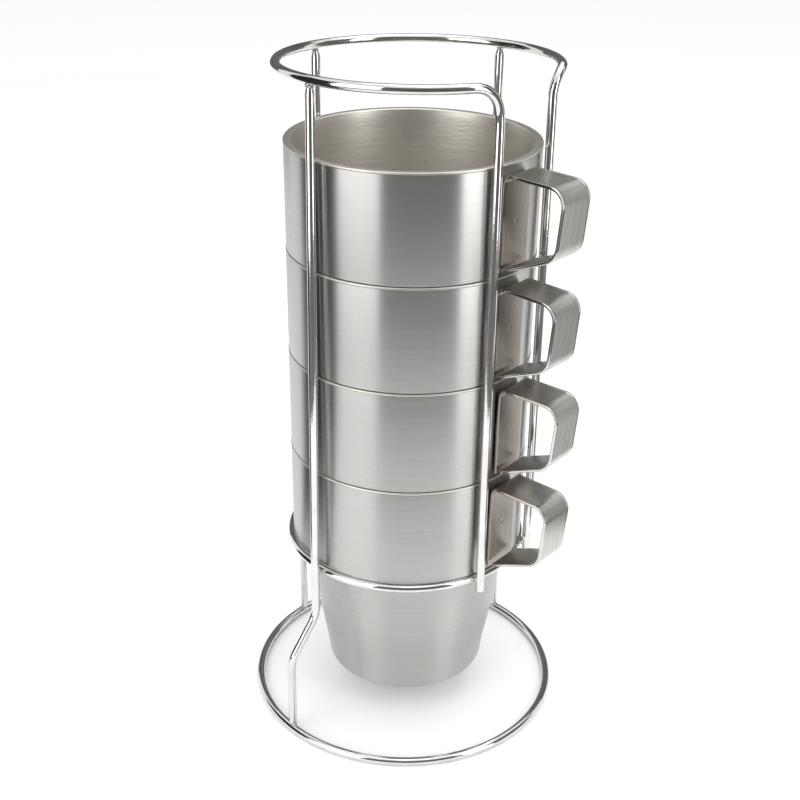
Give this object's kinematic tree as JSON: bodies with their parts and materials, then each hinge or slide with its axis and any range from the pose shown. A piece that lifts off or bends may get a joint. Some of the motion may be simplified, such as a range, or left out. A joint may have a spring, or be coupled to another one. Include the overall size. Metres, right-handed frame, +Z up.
{
  "type": "mug rack with nested mugs",
  "caption": "Free-standing bent-wire rack holding a nested stack of double-wall steel mugs, each with a bent-strip handle in the slot between the guard wires.",
  "frame": {"origin": "middle of the bounding box, on the surface the base ring stands on", "axes": "+Z up along the stack; +X out through the handle slot, between the two guard wires; +Y to the left when looking along +X"},
  "size_m": [0.1318, 0.1224, 0.2551],
  "materials": {
    "rack_wire": "polished round wire",
    "mug_outside": "fine brushing that runs round the mug",
    "mug_inside": "satin, with fine rings from turning",
    "handle_strip": "satin with a slight straw heat tint at the welds"
  },
  "bodies": {
    "rack": {"base_ring": "rack_wire", "support_ring": "rack_wire", "hoop_wire": "rack_wire", "leg_front": "rack_wire", "leg_left": "rack_wire", "leg_rear": "rack_wire"},
    "mug_1": {"mug_1_shell": "mug_outside", "mug_1_liner": "mug_inside", "mug_1_base": "mug_outside", "mug_1_handle": "handle_strip"},
    "mug_2": {"mug_2_shell": "mug_outside", "mug_2_liner": "mug_inside", "mug_2_base": "mug_outside", "mug_2_handle": "handle_strip"},
    "mug_3": {"mug_3_shell": "mug_outside", "mug_3_liner": "mug_inside", "mug_3_base": "mug_outside", "mug_3_handle": "handle_strip"},
    "mug_4": {"mug_4_shell": "mug_outside", "mug_4_liner": "mug_inside", "mug_4_base": "mug_outside", "mug_4_handle": "handle_strip"}
  },
  "joints": [
    {"name": "lift_mug_1", "type": "slide", "parent": "rack", "child": "mug_1", "axis": [0, 0, 1], "range_m": [0, 0.252]},
    {"name": "lift_mug_2", "type": "slide", "parent": "mug_1", "child": "mug_2", "axis": [0, 0, 1], "range_m": [0, 0.213]},
    {"name": "lift_mug_3", "type": "slide", "parent": "mug_2", "child": "mug_3", "axis": [0, 0, 1], "range_m": [0, 0.175]},
    {"name": "lift_mug_4", "type": "slide", "parent": "mug_3", "child": "mug_4", "axis": [0, 0, 1], "range_m": [0, 0.135]}
  ]
}
